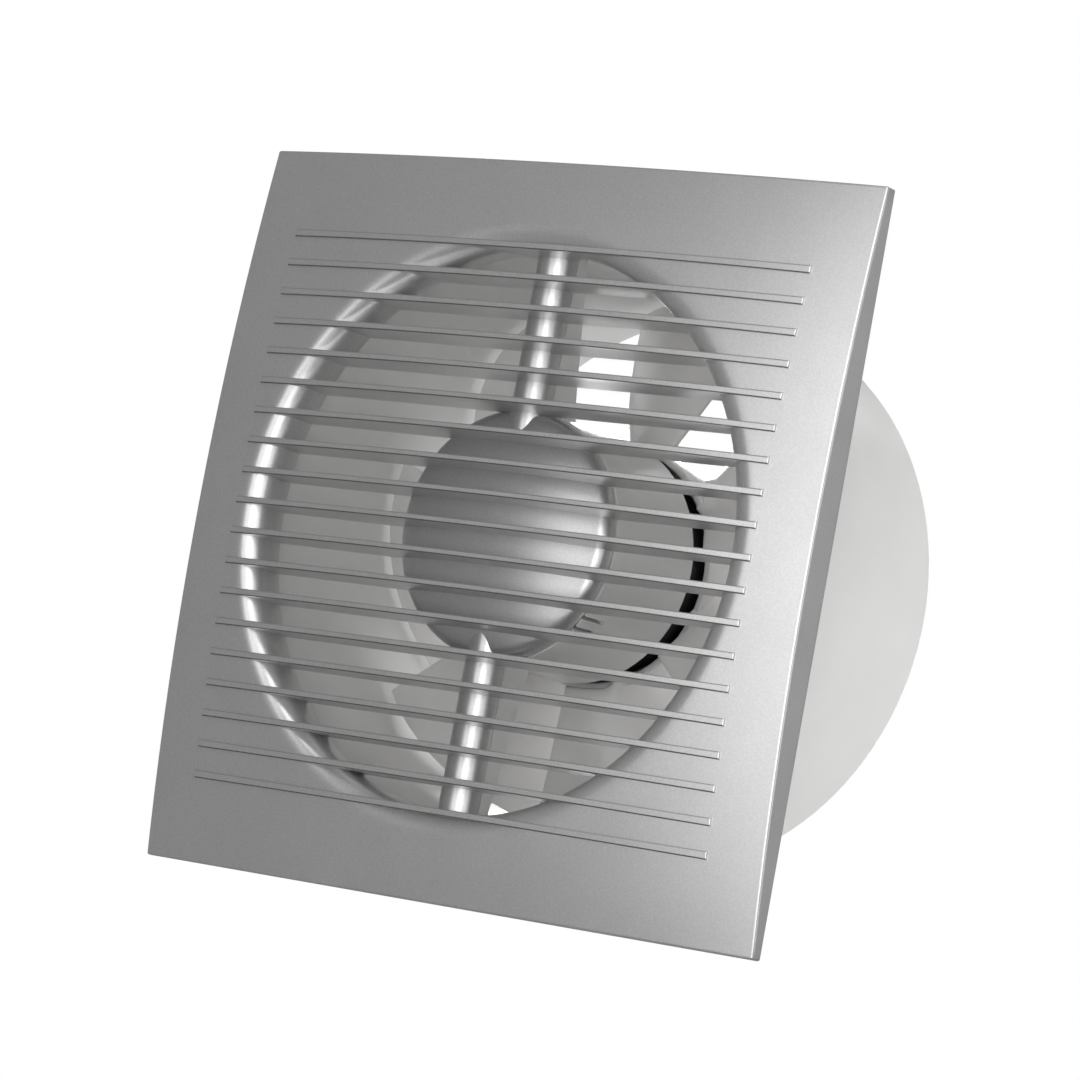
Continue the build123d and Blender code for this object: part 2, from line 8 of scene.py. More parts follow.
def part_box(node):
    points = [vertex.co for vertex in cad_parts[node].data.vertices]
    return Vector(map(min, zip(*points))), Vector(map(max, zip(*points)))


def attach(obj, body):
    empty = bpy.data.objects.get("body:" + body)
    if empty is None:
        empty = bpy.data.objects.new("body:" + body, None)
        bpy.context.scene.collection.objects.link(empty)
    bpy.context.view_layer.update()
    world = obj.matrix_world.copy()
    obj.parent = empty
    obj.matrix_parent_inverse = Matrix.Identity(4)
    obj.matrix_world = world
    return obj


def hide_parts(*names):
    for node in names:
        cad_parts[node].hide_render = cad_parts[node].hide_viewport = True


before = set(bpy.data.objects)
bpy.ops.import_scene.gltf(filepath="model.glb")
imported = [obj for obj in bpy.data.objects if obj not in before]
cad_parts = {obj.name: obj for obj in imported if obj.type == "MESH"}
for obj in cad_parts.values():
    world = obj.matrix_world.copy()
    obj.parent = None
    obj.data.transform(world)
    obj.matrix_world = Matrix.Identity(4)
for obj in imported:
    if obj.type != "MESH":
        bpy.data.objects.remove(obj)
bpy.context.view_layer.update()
MM = 0.001


# ------------------------------------------------------------------ mesh helpers (millimetres)
def piece(name, verts, faces, body, material, replaces=(), sharp=32.0):
    """A mesh from millimetre points, smooth but for edges sharper than the angle given."""
    mesh = bpy.data.meshes.new(name)
    mesh.from_pydata([tuple(v) for v in np.asarray(verts, float) * MM], [], faces)
    shape = bmesh.new()
    shape.from_mesh(mesh)
    bmesh.ops.remove_doubles(shape, verts=shape.verts, dist=0.000002)
    bmesh.ops.recalc_face_normals(shape, faces=shape.faces)
    shape.to_mesh(mesh)
    shape.free()
    mesh.validate()
    mesh.shade_smooth()
    mesh.set_sharp_from_angle(angle=math.radians(sharp))
    obj = bpy.data.objects.new(name, mesh)
    bpy.context.scene.collection.objects.link(obj)
    mesh.materials.append(material)
    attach(obj, body)
    if replaces:
        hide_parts(*replaces)
    return obj


def add_painted_shade(obj, amount):
    """Store how much painted shade darkens the paint at each vertex, from a function of its place in
    millimetres.
    """
    layer = obj.data.attributes.new("painted_shade", "FLOAT", "POINT")
    for vertex in obj.data.vertices:
        layer.data[vertex.index].value = amount(*(vertex.co / MM))


def joined(meshes):
    """Several meshes as one list of points and one of faces."""
    verts, faces = [], []
    for more_verts, more_faces in meshes:
        faces += [tuple(i + len(verts) for i in face) for face in more_faces]
        verts += more_verts
    return verts, faces


def loop_faces(rows, cols, wrap_rows=False, wrap_cols=False, flip=False):
    """Quads over a grid of rows by cols points, numbered row by row."""
    quads = []
    for i in range(rows if wrap_rows else rows - 1):
        for k in range(cols if wrap_cols else cols - 1):
            a = i * cols + k
            b = i * cols + (k + 1) % cols
            c = ((i + 1) % rows) * cols + (k + 1) % cols
            d = ((i + 1) % rows) * cols + k
            quads.append((a, d, c, b) if flip else (a, b, c, d))
    return quads


def turned(profile, segments=160):
    """A ring solid: a closed profile of (radius, y) points turned about the fan's axis."""
    verts = []
    for k in range(segments):
        turn = 2 * math.pi * k / segments
        for radius, y in profile:
            verts.append((radius * math.cos(turn), y, radius * math.sin(turn)))
    return verts, loop_faces(segments, len(profile), wrap_rows=True, wrap_cols=True)


def turned_cap(profile, segments=160):
    """A solid whose open profile starts and ends on the axis."""
    inner = profile[1:-1]
    verts = []
    for k in range(segments):
        turn = 2 * math.pi * k / segments
        for radius, y in inner:
            verts.append((radius * math.cos(turn), y, radius * math.sin(turn)))
    faces = loop_faces(segments, len(inner), wrap_rows=True)
    first, last = len(verts), len(verts) + 1
    verts += [(0, profile[0][1], 0), (0, profile[-1][1], 0)]
    n = len(inner)
    for k in range(segments):
        j = (k + 1) % segments
        faces.append((first, k * n, j * n))
        faces.append((last, j * n + n - 1, k * n + n - 1))
    return verts, faces


def rounded(points, radii, steps=6):
    """A closed outline with each corner rounded by its own radius."""
    out = []
    n = len(points)
    for i in range(n):
        p = np.array(points[i], float)
        before = np.array(points[i - 1], float) - p
        after = np.array(points[(i + 1) % n], float) - p
        r = radii[i]
        la, lb = np.linalg.norm(before), np.linalg.norm(after)
        u, v = before / la, after / lb
        half = math.acos(max(-1, min(1, float(np.dot(u, v))))) / 2
        reach = min(r / math.tan(half), 0.499 * min(la, lb))
        r = reach * math.tan(half)
        middle = (u + v) / np.linalg.norm(u + v)
        centre = p + middle * r / math.sin(half)
        a, b = p + u * reach - centre, p + v * reach - centre
        angle_a, angle_b = math.atan2(a[1], a[0]), math.atan2(b[1], b[0])
        sweep = (angle_b - angle_a + math.pi) % (2 * math.pi) - math.pi
        for k in range(steps + 1):
            t = angle_a + sweep * k / steps
            out.append((centre[0] + r * math.cos(t), centre[1] + r * math.sin(t)))
    return out


# ------------------------------------------------------------------ materials
def build_material(name, base, rough, metallic=0.0, mottle=0.04, grain=900.0, bump=0.02,
                   rough_spread=0.06, pattern=None, pattern_scale=1.0, pattern_bump=0.0,
                   pattern_tint=0.0, coat=0.0, subsurface=0.0, fleck=0.0, painted_shade=None):
    """A procedural finish: mottled colour, uneven gloss, fine bumps and, where asked, a pattern and
    painted shade read from a vertex attribute.
    """
    m = bpy.data.materials.new(name)
    m.use_nodes = True
    nt = m.node_tree
    nodes, links = nt.nodes, nt.links
    shader = nodes["Principled BSDF"]
    shader.inputs["Metallic"].default_value = metallic
    if coat:
        shader.inputs["Coat Weight"].default_value = coat
        shader.inputs["Coat Roughness"].default_value = 0.18
    if subsurface:
        shader.inputs["Subsurface Weight"].default_value = subsurface
        shader.inputs["Subsurface Radius"].default_value = (0.002, 0.002, 0.0018)
        shader.inputs["Subsurface Scale"].default_value = 0.4
    coords = nodes.new("ShaderNodeTexCoord")

    def noise(scale, detail):
        """Noise in the object's own space."""
        tex = nodes.new("ShaderNodeTexNoise")
        tex.inputs["Scale"].default_value = scale
        tex.inputs["Detail"].default_value = detail
        links.new(coords.outputs["Object"], tex.inputs["Vector"])
        return tex.outputs["Fac"]

    def ramp(fac, *stops):
        """A colour that goes from the first stop's to the second's; a stop is (position, colour)."""
        node = nodes.new("ShaderNodeValToRGB")
        for element, (position, stop_colour) in zip(node.color_ramp.elements, stops):
            element.position = position
            element.color = (*stop_colour, 1)
        links.new(fac, node.inputs["Fac"])
        return node.outputs["Color"]

    dark = tuple(c * (1 - mottle) for c in base)
    light = tuple(min(1.0, c * (1 + mottle)) for c in base)
    colour = ramp(noise(55.0, 4.0), (0.35, dark), (0.65, light))

    def multiply(a, b):
        """Two colours multiplied."""
        mix = nodes.new("ShaderNodeMix")
        mix.data_type = "RGBA"
        mix.blend_type = "MULTIPLY"
        mix.inputs[0].default_value = 1.0
        links.new(a, mix.inputs[6])
        links.new(b, mix.inputs[7])
        return mix.outputs[2]

    if fleck:
        flecks = ramp(noise(2600.0, 1.0), (0.40, (1 - fleck,) * 3), (0.62, (1 + fleck,) * 3))
        colour = multiply(colour, flecks)

    # painted shade: a vertex attribute darkens the colour along the slats' edges, where shade falls
    if painted_shade:
        shade_attribute = nodes.new("ShaderNodeAttribute")
        shade_attribute.attribute_name = painted_shade
        shade = ramp(shade_attribute.outputs["Fac"], (0.0, (1, 1, 1)), (1.0, (0.25, 0.25, 0.25)))
        colour = multiply(colour, shade)

    height = noise(grain, 2.0)
    pattern_fac = None
    if pattern:
        wave = nodes.new("ShaderNodeTexWave")
        wave.wave_type = "RINGS" if pattern == "rings" else "BANDS"
        if pattern == "rings":
            wave.rings_direction = "Y"
        else:
            wave.bands_direction = pattern
        wave.inputs["Scale"].default_value = pattern_scale
        wave.inputs["Distortion"].default_value = 0.4
        wave.inputs["Detail"].default_value = 1.0
        links.new(coords.outputs["Object"], wave.inputs["Vector"])
        pattern_fac = wave.outputs["Fac"]
        if pattern_tint:
            tint = ramp(pattern_fac, (0.15, (1 - pattern_tint,) * 3), (0.6, (1, 1, 1)))
            colour = multiply(colour, tint)
    links.new(colour, shader.inputs["Base Color"])

    spread = nodes.new("ShaderNodeMapRange")
    spread.inputs["From Min"].default_value = 0.3
    spread.inputs["From Max"].default_value = 0.7
    spread.inputs["To Min"].default_value = max(0.02, rough - rough_spread)
    spread.inputs["To Max"].default_value = min(1.0, rough + rough_spread)
    links.new(noise(130.0, 5.0), spread.inputs["Value"])
    links.new(spread.outputs["Result"], shader.inputs["Roughness"])

    bumps = nodes.new("ShaderNodeBump")
    bumps.inputs["Strength"].default_value = 1.0
    bumps.inputs["Distance"].default_value = bump * MM
    links.new(height, bumps.inputs["Height"])
    normal = bumps.outputs["Normal"]
    if pattern and pattern_bump:
        relief = nodes.new("ShaderNodeBump")
        relief.inputs["Strength"].default_value = 1.0
        relief.inputs["Distance"].default_value = pattern_bump * MM
        links.new(pattern_fac, relief.inputs["Height"])
        links.new(normal, relief.inputs["Normal"])
        normal = relief.outputs["Normal"]
    links.new(normal, shader.inputs["Normal"])
    return m


# the silver paint reads the slats' painted-shade attribute, which darkens their edges
silver = build_material("silver_paint", (0.64, 0.637, 0.637), 0.33, metallic=0.80, mottle=0.015,
                        grain=3000.0, bump=0.002, rough_spread=0.012, fleck=0.04, painted_shade="painted_shade")
white = build_material("white_moulding", (0.86, 0.858, 0.852), 0.22, mottle=0.015, grain=1400.0,
                       bump=0.006, rough_spread=0.05, subsurface=0.1)
blade_white = build_material("blade_moulding", (0.84, 0.835, 0.828), 0.22, mottle=0.02,
                             grain=1100.0, bump=0.008, rough_spread=0.05, subsurface=0.1)
black = build_material("black_moulding", (0.014, 0.014, 0.015), 0.45, mottle=0.1, grain=1800.0,
                       bump=0.01)
nylon = build_material("natural_nylon", (0.72, 0.70, 0.62), 0.48, mottle=0.04, grain=1500.0,
                       bump=0.01, subsurface=0.15)
brass = build_material("brass", (0.72, 0.52, 0.24), 0.28, metallic=1.0, mottle=0.07, grain=2600.0,
                       bump=0.004, pattern="X", pattern_scale=900.0, pattern_bump=0.002)
zinc = build_material("zinc_steel", (0.62, 0.62, 0.60), 0.30, metallic=1.0, mottle=0.06,
                      grain=2600.0, bump=0.004, pattern="rings", pattern_scale=800.0,
                      pattern_bump=0.003)
ground = build_material("ground_steel", (0.66, 0.66, 0.66), 0.22, metallic=1.0, mottle=0.03,
                        grain=2600.0, bump=0.002, pattern="Y", pattern_scale=2200.0,
                        pattern_bump=0.002)
spring = build_material("spring_steel", (0.20, 0.21, 0.23), 0.35, metallic=1.0, mottle=0.1,
                        grain=2000.0, bump=0.004)
laminated = build_material("laminations", (0.30, 0.31, 0.33), 0.42, metallic=0.9, mottle=0.1,
                           grain=1800.0, bump=0.01, pattern="Y", pattern_scale=310.0,
                           pattern_bump=0.05, pattern_tint=0.5)
copper = build_material("bare_copper", (0.78, 0.36, 0.20), 0.32, metallic=1.0, mottle=0.1,
                        grain=2000.0, bump=0.006)
winding = build_material("enamelled_wire", (0.46, 0.15, 0.05), 0.26, metallic=0.6, mottle=0.06,
                         grain=1500.0, bump=0.004, pattern="X", pattern_scale=560.0,
                         pattern_bump=0.08, pattern_tint=0.45, coat=0.5)
cast = build_material("die_cast", (0.66, 0.665, 0.67), 0.44, metallic=1.0, mottle=0.08,
                      grain=700.0, bump=0.02, rough_spread=0.1)
bronze = build_material("sintered_bronze", (0.55, 0.38, 0.22), 0.5, metallic=0.9, mottle=0.14,
                        grain=3200.0, bump=0.02)
rubber = build_material("grommet_rubber", (0.03, 0.03, 0.03), 0.68, mottle=0.15, grain=1500.0,
                        bump=0.02)
brown = build_material("brown_insulation", (0.17, 0.07, 0.03), 0.4, mottle=0.06, grain=1500.0,
                       bump=0.008)
blue = build_material("blue_insulation", (0.03, 0.10, 0.36), 0.4, mottle=0.06, grain=1500.0,
                      bump=0.008)
dark_nylon = build_material("dark_nylon", (0.08, 0.075, 0.07), 0.5, mottle=0.1, grain=1500.0,
                            bump=0.01)

for node, material in {
    "base_housing": white, "chamber_cap": white, "cord_clamp": white, "impeller": blade_white,
    "motor_rear_cap": black, "terminal_block": nylon, "coil_bobbin": nylon,
    "terminal_clamps": brass, "terminal_screws": zinc, "block_screw": zinc,
    "cord_clamp_screws": zinc, "motor_screws": zinc, "cable_grommet": rubber,
    "lead_live": brown, "lead_neutral": blue, "stator_core": laminated,
    "rotor_core": laminated, "shading_rings": copper, "coil_winding": winding,
    "front_bracket": cast, "rear_bracket": cast, "rotor_cage": cast, "front_bearing": bronze,
    "rear_bearing": bronze, "shaft": ground, "thrust_washers": dark_nylon,
    "impeller_clip": spring, "front_grille": silver,
}.items():
    for material_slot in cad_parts[node].material_slots:
        material_slot.material = material

# ------------------------------------------------------------------ cover panel
grille_low, grille_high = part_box("front_grille")
half = grille_high[0] / MM
CORNER, BOW_Z, BOW_X, BOW_XZ = 2.75, 4.7, 4.4, 2.4   # the front's depth at the corners, and its bows
BORE, TUBE, LIP = 57.0, 58.4, 4.3     # radii of the opening, of the tube's outside and of the lip
# how far the slats stand in front of the panel's face, from the grille's whole depth
PROUD = -grille_low[1] / MM - CORNER - BOW_Z - BOW_X - BOW_XZ


def depth(x, z):
    """How far the panel's front stands in front of the wall plane."""
    across, up = 1 - (x / half) ** 2, 1 - (z / half) ** 2
    return CORNER + BOW_Z * up + BOW_X * across + BOW_XZ * across * up


def outline(inset, per_side=44, corner=0.45, steps=5):
    """Points and outward normals round the square, always the same count."""
    side = half - corner
    points = []
    for quarter in range(4):
        turn = quarter * math.pi / 2
        c, s = math.cos(turn), math.sin(turn)
        row = []
        for k in range(per_side):
            t = -1 + 2 * k / per_side
            row.append((half, t * side, 1.0, 0.0))
        for k in range(steps):
            a = (k / steps) * math.pi / 2
            row.append((side + corner * math.cos(a), side + corner * math.sin(a),
                        math.cos(a), math.sin(a)))
        for px, pz, nx, nz in row:
            points.append((c * px - s * pz, s * px + c * pz, c * nx - s * nz, s * nx + c * nz))
    points = np.array(points)
    return np.clip(points[:, :2] - inset * points[:, 2:], inset - half, half - inset)


def lip_start(cos_a, sin_a):
    """Where the panel's surface meets the rolled lip, and the centre of the lip's arc."""
    r = BORE + LIP * 1.12
    for _ in range(6):
        slope = (depth((r + 0.01) * cos_a, (r + 0.01) * sin_a)
                 - depth((r - 0.01) * cos_a, (r - 0.01) * sin_a)) / 0.02
        normal = np.array((-slope, 1.0)) / math.hypot(slope, 1.0)
        r = BORE + LIP * (1 + normal[0])
    centre = depth(r * cos_a, r * sin_a) - LIP * normal[1]
    return r, centre, math.atan2(normal[1], normal[0])


EDGE, SKIN, WALL = 0.4, 1.9, 1.8
SUPPORT = 0.15                      # a row this close to a rounded edge keeps the face beside it flat
TUBE_BACK, TUBE_STEP = -1.0, -4.2   # the tube's back edge, and where it joins the panel's underside
HOLLOW_R = 62.8                     # where the panel's underside begins
base_ring = outline(0.0)
angles = np.arctan2(base_ring[:, 1], base_ring[:, 0])
cos_s, sin_s = np.cos(angles), np.sin(angles)
starts = [lip_start(c, s) for c, s in zip(cos_s, sin_s)]


def level_row(inset, y):
    """A row round the square at one depth."""
    return [(x, y, z) for x, z in outline(inset)]


def front_row(inset, behind):
    """A row round the square that follows the panel's front, a little behind it."""
    return [(x, -depth(x, z) + behind, z) for x, z in outline(inset)]


def rim_rows():
    """The back rim, the side and the rounded front edge, from the inside outwards."""
    rows = [level_row(WALL, -0.3), level_row(WALL - 0.3, 0.0), level_row(0.3, 0.0),
            level_row(0.08, -0.08), level_row(0.0, -0.3), level_row(0.0, -0.42),
            front_row(0.0, EDGE + SUPPORT)]
    for k in range(7):
        t = math.pi / 2 * k / 6
        rows.append(front_row(EDGE * (1 - math.cos(t)), EDGE * (1 - math.sin(t))))
    rows.append(front_row(EDGE + SUPPORT, 0.0))
    return rows


def face_rows(steps=18):
    """The pillow-shaped front, from the edge in to where the lip begins."""
    rows = []
    for k in range(1, steps + 1):
        row = []
        for (x, z), (r0, _, _), c, s in zip(outline(EDGE + SUPPORT), starts, cos_s, sin_s):
            px = x + (r0 * c - x) * k / steps
            pz = z + (r0 * s - z) * k / steps
            row.append((px, -depth(px, pz), pz))
        rows.append(row)
    return rows


def lip_rows(steps=12):
    """The lip, rolled over from the front into the opening."""
    rows = []
    for k in range(1, steps + 1):
        row = []
        for (_, centre, a0), c, s in zip(starts, cos_s, sin_s):
            a = a0 + (math.pi - a0) * k / steps
            r = BORE + LIP + LIP * math.cos(a)
            row.append((r * c, -(centre + LIP * math.sin(a)), r * s))
        rows.append(row)
    return rows


def tube_rows():
    """The short tube behind the lip, inside and outside."""
    profile = ((BORE, -3.0), (BORE, TUBE_BACK - 0.4), (BORE + 0.12, TUBE_BACK - 0.12),
               (BORE + 0.4, TUBE_BACK), (TUBE - 0.3, TUBE_BACK), (TUBE, TUBE_BACK - 0.3),
               (TUBE, TUBE_STEP + 0.3), (TUBE + 0.3, TUBE_STEP), (HOLLOW_R - 0.4, TUBE_STEP),
               (HOLLOW_R, TUBE_STEP - 0.3))
    return [[(r * c, y, r * s) for c, s in zip(cos_s, sin_s)] for r, y in profile]


def underside_rows(steps=8):
    """The panel's underside, from the tube out to the side wall."""
    rows = []
    for k in range(steps + 1):
        row = []
        for (x, z), c, s in zip(outline(WALL), cos_s, sin_s):
            px = HOLLOW_R * c + (x - HOLLOW_R * c) * k / steps
            pz = HOLLOW_R * s + (z - HOLLOW_R * s) * k / steps
            row.append((px, min(-depth(px, pz) + SKIN, -0.5), pz))
        rows.append(row)
    return rows


rows = rim_rows() + face_rows() + lip_rows() + tube_rows() + underside_rows()
verts = [p for row in rows for p in row]
faces = loop_faces(len(rows), len(base_ring), wrap_rows=True, wrap_cols=True)
piece("cover_panel", verts, faces, "cover", silver, ("front_grille",), sharp=38)

# ------------------------------------------------------------------ slats
SLATS, PITCH, REACH = 19, 6.34, 63.3
FACE, THICKEN, FRONT_AT = 0.575, 0.0285, 14.65   # half the front's height, and how it grows behind it
SLAT_BACK, SLAT_EDGE = 1.5, 0.22
RIB_BACK, RIB_DEEP = 4.6, 1.1                    # the ribs' backs over the tube and over the panel
OVER_TUBE, OVER_PANEL = BORE + 0.45, 62.2        # the radii where those begin


def slat_half(w):
    """Half the slat's height at a depth: it thickens a little to the back."""
    return FACE + THICKEN * (FRONT_AT - w)


def slat(z0):
    """One slat with crisp edges; the ends are rounded over and go down into the panel."""
    stations = set(np.linspace(0, REACH - 0.9, 34))
    for radius in (OVER_TUBE, OVER_PANEL):
        if abs(z0) < radius - 0.4:
            crossing = math.sqrt(radius ** 2 - z0 ** 2)
            stations.update((crossing - 0.02, crossing + 0.02))
    stations = [(x, 0.0) for x in sorted(stations)]
    stations += [(REACH - SLAT_EDGE - 0.12, 0.0)]
    stations += [(REACH - SLAT_EDGE * (1 - math.sin(math.radians(a))),
                  SLAT_EDGE * (1 - math.cos(math.radians(a)))) for a in (0, 30, 60, 90)]
    stations += [(REACH, SLAT_EDGE + 0.08), (REACH, PROUD + 0.15)]
    stations = [(-x, drop) for x, drop in reversed(stations) if x > 0.01] + stations
    verts, faces = [], []
    for x, drop in stations:
        r = math.hypot(x, z0)
        w_mid = depth(x, z0)
        back = SLAT_BACK if r < OVER_TUBE else (RIB_BACK if r < OVER_PANEL else w_mid - RIB_DEEP)
        ring = []
        for sz in (-1, 1):
            w_front = w_mid + PROUD - drop
            hb, hf = slat_half(back), slat_half(w_front)
            side_ring = [(hb - 0.35, back), (hb - 0.1, back + 0.08), (hb, back + 0.35),
                         (hf + 0.004, w_front - SLAT_EDGE - 0.12)]
            for a in (0, 30, 60, 90):
                rad = math.radians(a)
                side_ring.append((hf - SLAT_EDGE * (1 - math.cos(rad)),
                                  w_front - SLAT_EDGE * (1 - math.sin(rad))))
            side_ring.append((hf - SLAT_EDGE - 0.08, w_front))
            if sz > 0:
                side_ring.reverse()
            for dz, w in side_ring:
                lean = depth(x, z0 + sz * dz) - w_mid if w > back + 0.5 else 0.0
                ring.append((x, -(w + lean), z0 + sz * dz))
        verts += ring
    n = len(ring)
    faces = loop_faces(len(stations), n, wrap_cols=True, flip=True)
    faces.append(tuple(range(n)))
    faces.append(tuple(reversed(range(len(verts) - n, len(verts)))))
    return verts, faces


verts, faces = joined([slat((i - (SLATS - 1) / 2) * PITCH) for i in range(SLATS)])
slats = piece("cover_slats", verts, faces, "cover", silver, sharp=40)


def slat_painted_shade(x, y, z):
    """Painted shade along the slats' front edges, most of it on the lower ones."""
    below = PITCH * round(z / PITCH) - z
    from_corner = depth(x, z) + PROUD + y + slat_half(-y) - abs(below)
    amount = min(1.0, max(0.0, (0.30 - from_corner) / 0.16))
    return amount * (1.0 if below > 0 else 0.4)


# painted shade along the slats' front edges
add_painted_shade(slats, slat_painted_shade)

# ------------------------------------------------------------------ dome and strut
DOME_R, DOME_TOP, DOME_EDGE, DOME_BACK, DOME_WALL = 25.4, -7.2, -3.1, -0.3, 1.7
DOME_FILLET = 3.1                     # radius of the rounding between the face and the rim
STRUT_R, STRUT_BORE, STRUT_AXIS = 4.4, 2.9, -0.2   # outside and inside radius, depth of the axis
ball = (DOME_R ** 2 + (DOME_EDGE - DOME_TOP) ** 2) / (2 * (DOME_EDGE - DOME_TOP))


def dome_face(r, shift=0.0):
    """Depth of the dome's spherical face at a radius, or of a surface behind it."""
    return DOME_TOP + shift + ball - math.sqrt(max(0.0, ball ** 2 - r * r))


def dome_profile():
    """The dome's section: face, fillet, back edge and inside, from axis to axis."""
    fillet_r = DOME_R - DOME_FILLET
    touch = DOME_R
    for _ in range(60):
        slope = touch / math.sqrt(ball ** 2 - touch ** 2)
        touch = fillet_r + DOME_FILLET * slope / math.hypot(1, slope)
    slope = touch / math.sqrt(ball ** 2 - touch ** 2)
    fillet_y = dome_face(touch) + DOME_FILLET / math.hypot(1, slope)
    profile = [(0.0, DOME_TOP)]
    profile += [(r, dome_face(r)) for r in np.linspace(1.0, touch, 16)]
    profile += [(fillet_r + DOME_FILLET * math.cos(a), fillet_y + DOME_FILLET * math.sin(a))
                for a in np.linspace(math.atan2(-1, slope), 0.0, 10)[1:]]
    inside = DOME_R - DOME_WALL
    profile += [(DOME_R, DOME_BACK - 0.2), (DOME_R - 0.2, DOME_BACK),
                (inside + 0.1, DOME_BACK), (inside, DOME_BACK - 0.1)]
    profile += [(inside - 0.4, min(DOME_BACK - 0.5, dome_face(inside, DOME_WALL) - 0.2))]
    profile += [(r, dome_face(r, DOME_WALL)) for r in np.linspace(inside - 2.5, 1.0, 10)]
    profile += [(0.0, DOME_TOP + DOME_WALL)]
    return profile


verts, faces = turned_cap(dome_profile())
piece("cover_dome", verts, faces, "cover", silver, sharp=50)


def half_circle(radius, steps):
    """Points of a half circle in front of the strut's axis, from right to left."""
    return [(radius * math.cos(a), STRUT_AXIS - radius * math.sin(a))
            for a in (math.pi * k / steps for k in range(steps + 1))]


def strut(side):
    """Half round hollow bar from inside the dome out to the tube."""
    stations = [19.2, 19.6, 20.0] + list(np.linspace(20.8, 24.6, 6))
    stations += list(np.linspace(26.5, BORE + 0.6, 12))
    section = half_circle(STRUT_R, 20)
    section += [(0.15 - STRUT_R, STRUT_AXIS), (-STRUT_BORE - 0.05, STRUT_AXIS)]
    section += list(reversed(half_circle(STRUT_BORE, 12)))
    verts = []
    for z in stations:
        for x, y in section:
            r = math.hypot(x, z)
            if r < DOME_R - 0.8:
                y = min(y, dome_face(r, 0.8))
            verts.append((x, y, side * z))
    n = len(section)
    faces = loop_faces(len(stations), n, wrap_cols=True, flip=side < 0)
    faces.append(tuple(range(n)) if side < 0 else tuple(reversed(range(n))))
    end = tuple(range(len(verts) - n, len(verts)))
    faces.append(tuple(reversed(end)) if side < 0 else end)
    return verts, faces


for side, label in ((1, "upper"), (-1, "lower")):
    verts, faces = strut(side)
    piece("cover_strut_" + label, verts, faces, "cover", silver, sharp=40)

# ------------------------------------------------------------------ catches
CATCH_X, CATCH_Y = (71.2, 73.4), (-2.2, -1.2)   # a ridge's span across and in depth
CATCH_Z, CATCH_HALF = 30.0, 4.0       # height of its middle above or below the axis, half its length


def catch(side, level):
    """A small ridge inside the panel's side wall, which holds on to the back plate."""
    section = rounded([(CATCH_X[0], CATCH_Y[0]), (CATCH_X[1], CATCH_Y[0]),
                       (CATCH_X[1], CATCH_Y[1]), (CATCH_X[0], CATCH_Y[1])],
                      [0.3, 0.1, 0.1, 0.3], 4)
    middle_x, middle_y = sum(CATCH_X) / 2, sum(CATCH_Y) / 2
    half_x, half_y = middle_x - CATCH_X[0], middle_y - CATCH_Y[0]
    bevel = [(CATCH_HALF, 0.25), (CATCH_HALF - 0.08, 0.08), (CATCH_HALF - 0.25, 0.0)]
    verts = []
    for along, shrink in [(-a, b) for a, b in bevel] + bevel[::-1]:
        for x, y in section:
            verts.append((side * (middle_x + (x - middle_x) * (1 - shrink / half_x)),
                          middle_y + (y - middle_y) * (1 - shrink / half_y),
                          level * CATCH_Z + along))
    n = len(section)
    faces = loop_faces(2 * len(bevel), n, wrap_cols=True)
    faces.append(tuple(range(n)))
    faces.append(tuple(reversed(range(len(verts) - n, len(verts)))))
    return verts, faces


verts, faces = joined([catch(side, level) for side in (-1, 1) for level in (-1, 1)])
piece("cover_catches", verts, faces, "cover", silver, sharp=40)

# ------------------------------------------------------------------ impeller
BLADES, TIP = 7, 56.5
HUB_FRONT, HUB_FLOOR, HUB_END = 34.0, 47.6, 50.0
HUB_R_FRONT, HUB_R_END = 26.1, 25.0
BOSS_R, BOSS_FRONT, BOSS_END, SHAFT_HOLE = 5.0, 40.0, 54.0, 2.02
ROOT = 26.0                           # radius where the blades' sweep is counted from
LEAD_Y, LEAD_LEAN, TRAIL_Y = 31.0, 1.5, 50.6
LEAD_ANGLE, TRAIL_ANGLE = 60.5, 111.0   # degrees round the axis at the root
HALF_THICK, THINNER = 0.68, 0.2
BLEND_R, BLEND_FOOT = 1.6, 1.1        # the blade's foot widens into the hub
FREE_ROOT, SUNK_ROOT = 25.95, 24.6    # where blades start in front of the hub, and inside its wall
ROUNDING = (0.0, 0.12, 0.4, 1.0)      # how rows crowd towards a blade's rounded edge


def hub_radius(y):
    """Outside radius of the hub's tapered wall at a depth."""
    return HUB_R_FRONT - (y - HUB_FRONT) / (HUB_END - HUB_FRONT) * (HUB_R_FRONT - HUB_R_END)


def blade_place(r, s):
    """The blade's middle surface, from its leading edge at 0 to its trailing edge at 1."""
    out = (r - ROOT) / (TIP - ROOT)
    front = LEAD_Y + LEAD_LEAN * out
    lead = LEAD_ANGLE - 0.5 * out
    trail = TRAIL_ANGLE - 7.4 * out - 1.1 * out * out
    y = front + (TRAIL_Y - front) * s * s
    a = np.radians(lead + (trail - lead) * s)
    return np.array((r * math.cos(a), y, r * math.sin(a)))


def blade_normal(r, s):
    """The middle surface's normal."""
    along = blade_place(r, min(1.0, s + 0.002)) - blade_place(r, max(0.0, s - 0.002))
    outward = blade_place(r + 0.05, s) - blade_place(r - 0.05, s)
    normal = np.cross(along, outward)
    return normal / np.linalg.norm(normal)


def blade_station(index, steps, reach):
    """How far across the blade a row stands, and its distance from the nearer rounded edge."""
    last = steps + 2 * len(ROUNDING) - 2
    from_end = min(index, last - index)
    if from_end >= len(ROUNDING):
        return reach + (1 - 2 * reach) * (index - len(ROUNDING) + 1) / steps, 9.0
    near = ROUNDING[from_end] * reach
    return near if index < len(ROUNDING) else 1 - near, ROUNDING[from_end] * HALF_THICK


